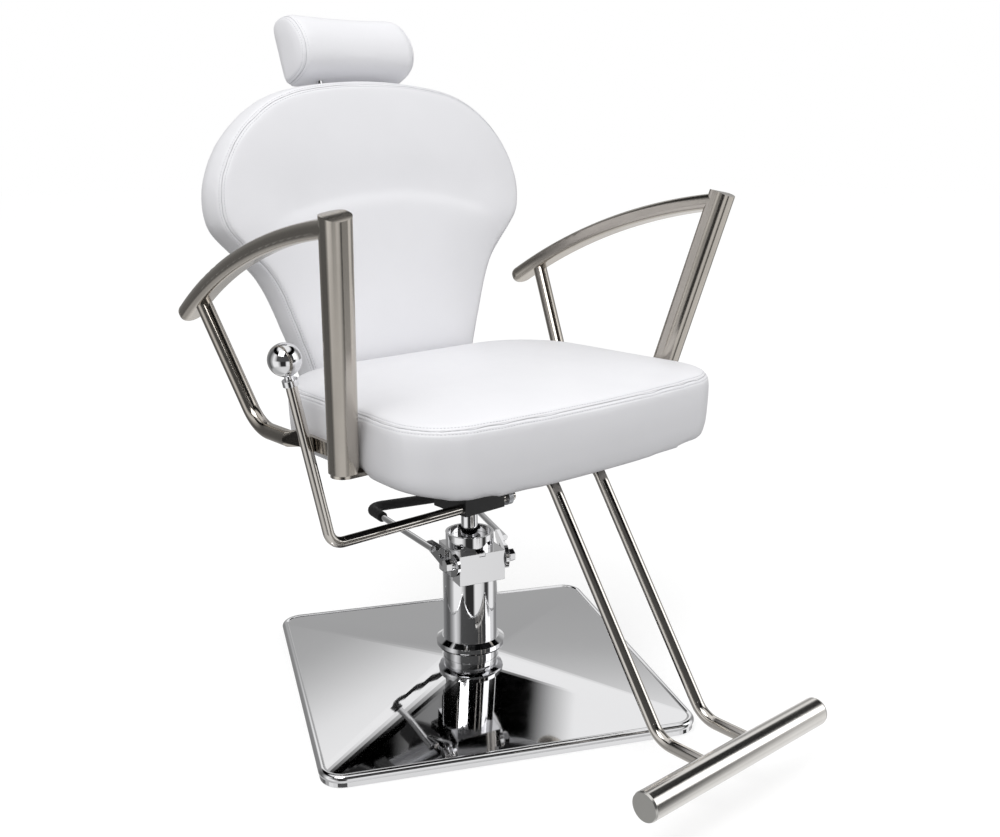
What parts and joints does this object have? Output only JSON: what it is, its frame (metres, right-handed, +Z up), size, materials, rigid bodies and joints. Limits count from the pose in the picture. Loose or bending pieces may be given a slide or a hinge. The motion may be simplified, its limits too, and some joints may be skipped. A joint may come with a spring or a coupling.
{
  "type": "threading chair",
  "caption": "Salon threading chair with padded seat, reclining back, sliding headrest, curved metal arms, T-bar footrest and a foot-pumped column on a square base.",
  "frame": {"origin": "on the floor, on the axis of the pump column", "axes": "+Z up; the sitter faces -Y; +X is the sitter's left"},
  "size_m": [0.72, 0.882, 1.0005],
  "materials": {
    "leatherette": "smooth white upholstery leatherette with tone-on-tone double stitching",
    "brushed_nickel": "warm satin nickel plating, brushed along the tube",
    "chrome": "mirror chrome plating",
    "black_steel": "black powder-coated steel",
    "zinc_steel": "plain zinc-plated steel",
    "rubber": "matte black rubber",
    "wood": "plywood under a stapled black dust cloth"
  },
  "bodies": {
    "base": {"base_cover": "chrome", "ballast_plate": "zinc_steel", "floor_pads": "rubber", "pump_flange": "zinc_steel", "flange_bolts": "zinc_steel", "base_collar": "chrome", "pump_column": "chrome", "oil_cylinder": "zinc_steel", "head_block": "chrome", "head_cup": "chrome", "gland_bush": "black_steel"},
    "pedal": {"pedal_shaft": "chrome", "shaft_hex_heads": "chrome", "pump_cam": "zinc_steel", "left_ear": "chrome", "right_ear": "chrome", "pedal_rod": "chrome", "pedal_sleeve": "rubber"},
    "plunger": {"pump_plunger": "zinc_steel"},
    "lift": {"ram": "chrome", "piston": "zinc_steel"},
    "seat": {"swivel_hub": "black_steel", "mounting_plate": "black_steel", "left_frame_rail": "black_steel", "right_frame_rail": "black_steel", "seat_board": "wood", "seat_cushion": "leatherette", "frame_screws": "zinc_steel", "left_arm_rail": "brushed_nickel", "left_arm_post": "brushed_nickel", "left_arm_strut": "brushed_nickel", "left_arm_strap": "brushed_nickel", "right_arm_rail": "brushed_nickel", "right_arm_post": "brushed_nickel", "right_arm_strut": "brushed_nickel", "right_arm_strap": "brushed_nickel", "arm_screws": "chrome", "left_footrest_tube": "chrome", "right_footrest_tube": "chrome", "footrest_bar": "chrome", "footrest_end_discs": "chrome", "footrest_clamps": "black_steel", "lock_cylinder": "black_steel"},
    "lever": {"lever_rod": "chrome", "lever_ball": "chrome", "release_cam": "zinc_steel"},
    "release": {"release_pin": "zinc_steel"},
    "lock_rod": {"lock_rod": "chrome"},
    "back": {"hinge_shaft": "zinc_steel", "left_back_bar": "black_steel", "right_back_bar": "black_steel", "recline_crank": "black_steel", "back_board": "wood", "back_cushion": "leatherette", "rear_panel": "leatherette", "bar_screws": "zinc_steel", "headrest_sockets": "chrome"},
    "headrest": {"headrest_cushion": "leatherette", "headrest_posts": "chrome"}
  },
  "joints": [
    {"name": "pedal_pump", "type": "hinge", "parent": "base", "child": "pedal", "pos_m": [-0.00992, -0.0346, 0.204], "axis": [-0.9613, 0.2756, 0], "range_deg": [0, 25], "stiffness_Nm_per_rad": 12, "springref_deg": -20.05},
    {"name": "plunger_stroke", "type": "slide", "parent": "base", "child": "plunger", "axis": [0, 0, -1], "range_m": [0, 0.0057]},
    {"name": "seat_lift", "type": "slide", "parent": "base", "child": "lift", "axis": [0, 0, 1], "range_m": [0, 0.13]},
    {"name": "seat_swivel", "type": "hinge", "parent": "lift", "child": "seat", "pos_m": [0, 0, 0.29], "axis": [0, 0, 1], "continuous": true},
    {"name": "lever_turn", "type": "hinge", "parent": "seat", "child": "lever", "pos_m": [0, -0.027, 0.2896], "axis": [-1, 0, 0], "range_deg": [0, 10], "stiffness_Nm_per_rad": 8, "springref_deg": -11.46},
    {"name": "release_stroke", "type": "slide", "parent": "seat", "child": "release", "axis": [0, 1, 0], "range_m": [0, 0.0032]},
    {"name": "back_recline", "type": "hinge", "parent": "seat", "child": "back", "pos_m": [0, 0.12, 0.35], "axis": [-1, 0, 0], "range_deg": [0, 45]},
    {"name": "lock_stroke", "type": "slide", "parent": "seat", "child": "lock_rod", "axis": [0, -1, 0], "range_m": [0, 0.0352]},
    {"name": "headrest_slide", "type": "slide", "parent": "back", "child": "headrest", "axis": [0, 0.1538, 0.9881], "range_m": [0, 0.07]}
  ],
  "couplings": [
    {"joint": "plunger_stroke", "follows": "pedal_pump", "m_per_rad": 0.013},
    {"joint": "release_stroke", "follows": "lever_turn", "m_per_rad": 0.018},
    {"joint": "lock_stroke", "follows": "back_recline", "m_per_rad": 0.044723}
  ]
}
